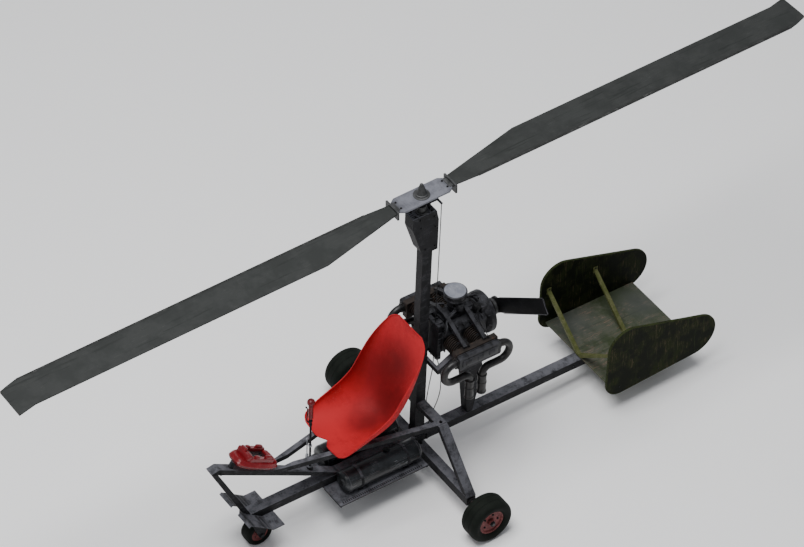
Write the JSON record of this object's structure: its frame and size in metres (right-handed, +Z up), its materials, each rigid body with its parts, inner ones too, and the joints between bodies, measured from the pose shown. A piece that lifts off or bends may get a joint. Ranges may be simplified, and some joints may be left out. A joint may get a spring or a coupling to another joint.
{
  "type": "gyrocopter",
  "caption": "Open-frame single-seat gyrocopter with a bucket seat on a tube frame, a two-blade rotor on a mast, a pusher engine and propeller, twin tail fins and three wheels.",
  "frame": {"origin": "on the ground under the rotor axis, the middle of the overall footprint", "axes": "+Z up along the rotor axis, +Y towards the tail, the nose towards -Y, +X towards the pilot's left"},
  "size_m": [1.958, 6.7, 2.7593],
  "materials": {
    "frame_paint": "matt, weathered",
    "hub_metal": "dull",
    "blade_paint": "matt",
    "seat_shell": "satin",
    "pod_shell": "gloss",
    "tail_paint": "painted matt, worn and scratched",
    "strut_paint": "matt",
    "tank_paint": "semi-gloss, scratched",
    "tyre": "matt",
    "rim_paint": "dull",
    "engine_case": "dull, oily",
    "engine_fins": "rust-stained",
    "exhaust_metal": "rust-stained",
    "filter_lid": "satin",
    "prop_paint": "painted black",
    "grip_paint": "gloss",
    "cable_sleeve": "matt"
  },
  "bodies": {
    "airframe": {"keel": "frame_paint", "mast": "frame_paint", "mast_head": "frame_paint", "rotor_bearing": "hub_metal", "nose_riser": "frame_paint", "nose_beam": "frame_paint", "side_rail_left": "frame_paint", "side_rail_right": "frame_paint", "cross_arms": "frame_paint", "gear_strut_left": "frame_paint", "gear_strut_right": "frame_paint", "axle_beam": "frame_paint", "main_axles": "hub_metal", "floor_plate": "frame_paint", "tank_left": "tank_paint", "tank_right": "tank_paint", "tank_saddles": "frame_paint", "seat": "seat_shell", "seat_brackets": "frame_paint", "foot_rest": "frame_paint", "instrument_pod": "pod_shell", "pod_post": "frame_paint", "control_stick": "frame_paint", "stick_grip": "grip_paint", "pitch_lever": "frame_paint", "engine_block": "engine_case", "engine_front_case": "engine_case", "cylinders_left": "engine_fins", "cylinders_right": "engine_fins", "valve_cover_left": "engine_case", "valve_cover_right": "engine_case", "exhaust_left": "exhaust_metal", "exhaust_right": "exhaust_metal", "intake": "engine_case", "air_filter": "filter_lid", "engine_post": "frame_paint", "engine_bearers": "frame_paint", "bell_housing": "engine_case", "tail_plane": "tail_paint", "tail_fin_left": "tail_paint", "tail_fin_right": "tail_paint", "tail_struts": "strut_paint", "mast_cable": "cable_sleeve", "throttle_cable": "cable_sleeve", "brake_cable": "cable_sleeve"},
    "rotor": {"rotor_shaft": "hub_metal", "hub_plate": "hub_metal", "hub_cone": "hub_metal", "blade_cuffs": "hub_metal", "blade_front": "blade_paint", "blade_rear": "blade_paint"},
    "propeller_body": {"prop_hub": "hub_metal", "propeller": "prop_paint"},
    "left_wheel": {"main_tyre_left": "tyre", "main_rim_left": "rim_paint"},
    "right_wheel": {"main_tyre_right": "tyre", "main_rim_right": "rim_paint"},
    "nose_fork_body": {"nose_fork": "frame_paint"},
    "nose_wheel": {"nose_tyre": "tyre", "nose_rim": "rim_paint"}
  },
  "joints": [
    {"name": "rotor_spin", "type": "hinge", "parent": "airframe", "child": "rotor", "pos_m": [0, 0, 2.63732], "axis": [0, 0, 1], "continuous": true},
    {"name": "propeller_spin", "type": "hinge", "parent": "airframe", "child": "propeller_body", "pos_m": [0, 0.64258, 1.21643], "axis": [0, 0.9994, -0.0358], "continuous": true},
    {"name": "left_wheel_spin", "type": "hinge", "parent": "airframe", "child": "left_wheel", "pos_m": [0.886, -0.035, 0.178], "axis": [1, 0, 0], "continuous": true},
    {"name": "right_wheel_spin", "type": "hinge", "parent": "airframe", "child": "right_wheel", "pos_m": [-0.886, -0.035, 0.178], "axis": [1, 0, 0], "continuous": true},
    {"name": "nose_steering", "type": "hinge", "parent": "airframe", "child": "nose_fork_body", "pos_m": [0, -1.42542, 0.24691], "axis": [0, 0.0358, 0.9994], "range_deg": [-30, 30]},
    {"name": "nose_wheel_spin", "type": "hinge", "parent": "nose_fork_body", "child": "nose_wheel", "pos_m": [0, -1.43043, 0.107], "axis": [1, 0, 0], "continuous": true}
  ]
}
